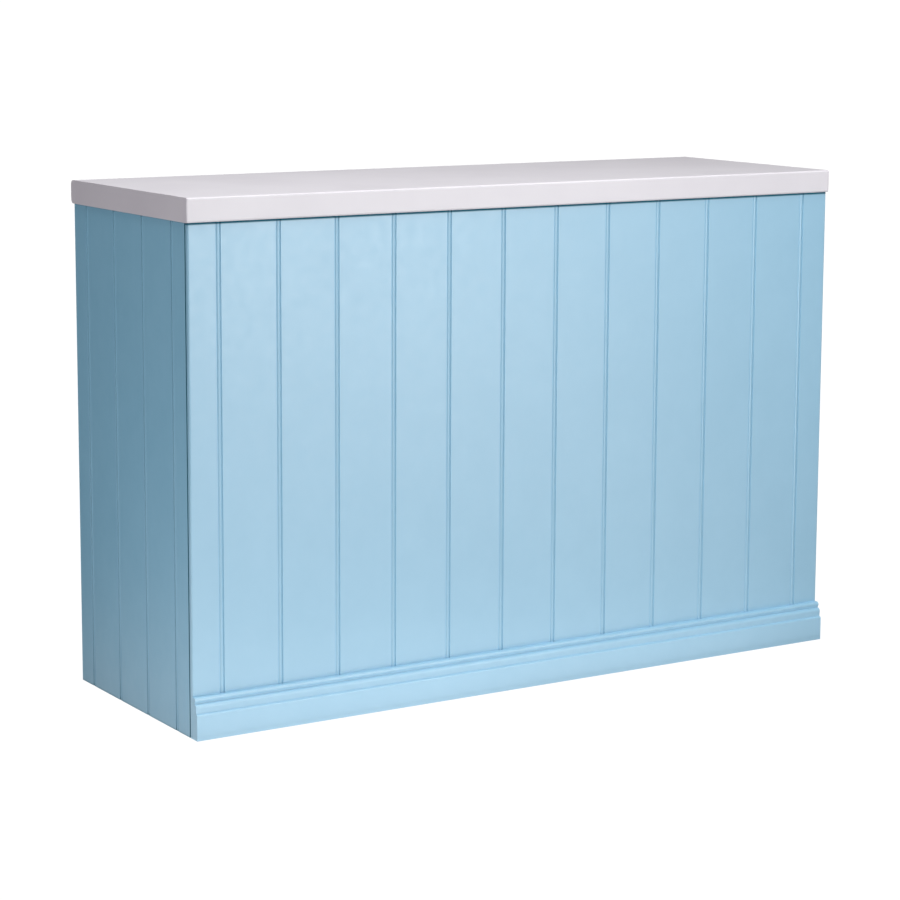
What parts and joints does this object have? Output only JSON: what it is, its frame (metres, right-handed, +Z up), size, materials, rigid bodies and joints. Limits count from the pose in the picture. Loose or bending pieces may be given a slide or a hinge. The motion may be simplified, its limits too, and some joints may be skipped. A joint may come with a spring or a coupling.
{
  "type": "bar counter",
  "caption": "Straight bar counter with beaded tongue-and-groove cladding, a moulded front skirting, a thick white top, and an open back with shelves.",
  "frame": {"origin": "on the floor, under the middle of the overall box", "axes": "+X along the counter to the customer's right, -Y towards the customers, +Z up"},
  "size_m": [1.636, 0.571, 1.1],
  "materials": {
    "board_paint": "satin pale blue paint on wood fibre boards",
    "top_laminate": "satin white laminate on a board core",
    "edging_strip": "satin white edging",
    "softwood": "planed softwood",
    "plywood": "varnished birch plywood",
    "zinc_plate": "bright zinc plate"
  },
  "bodies": {
    "root": {"counter_top": "top_laminate", "top_edging_left": "edging_strip", "top_edging_right": "edging_strip", "front_board_01": "board_paint", "front_board_02": "board_paint", "front_board_03": "board_paint", "front_board_04": "board_paint", "front_board_05": "board_paint", "front_board_06": "board_paint", "front_board_07": "board_paint", "front_board_08": "board_paint", "front_board_09": "board_paint", "front_board_10": "board_paint", "front_board_11": "board_paint", "front_board_12": "board_paint", "front_board_13": "board_paint", "left_board_1": "board_paint", "left_board_2": "board_paint", "left_board_3": "board_paint", "left_board_4": "board_paint", "left_board_5": "board_paint", "right_board_1": "board_paint", "right_board_2": "board_paint", "right_board_3": "board_paint", "right_board_4": "board_paint", "right_board_5": "board_paint", "skirting_board": "board_paint", "front_top_rail": "softwood", "front_middle_rail": "softwood", "front_bottom_rail": "softwood", "front_left_stile": "softwood", "front_centre_stile": "softwood", "front_right_stile": "softwood", "left_top_rail": "softwood", "left_middle_rail": "softwood", "left_bottom_rail": "softwood", "left_front_stile": "softwood", "left_back_stile": "softwood", "right_top_rail": "softwood", "right_middle_rail": "softwood", "right_bottom_rail": "softwood", "right_front_stile": "softwood", "right_back_stile": "softwood", "back_top_rail": "softwood", "back_shelf_rail": "softwood", "back_bottom_rail": "softwood", "middle_shelf_cleat_left": "softwood", "middle_shelf_cleat_right": "softwood", "middle_shelf_cleat_front": "softwood", "base_shelf_cleat_left": "softwood", "base_shelf_cleat_right": "softwood", "base_shelf_cleat_front": "softwood", "middle_shelf": "plywood", "base_shelf": "plywood", "top_bracket_left_front": "zinc_plate", "top_bracket_left_back": "zinc_plate", "top_bracket_right_front": "zinc_plate", "top_bracket_right_back": "zinc_plate"}
  },
  "joints": []
}
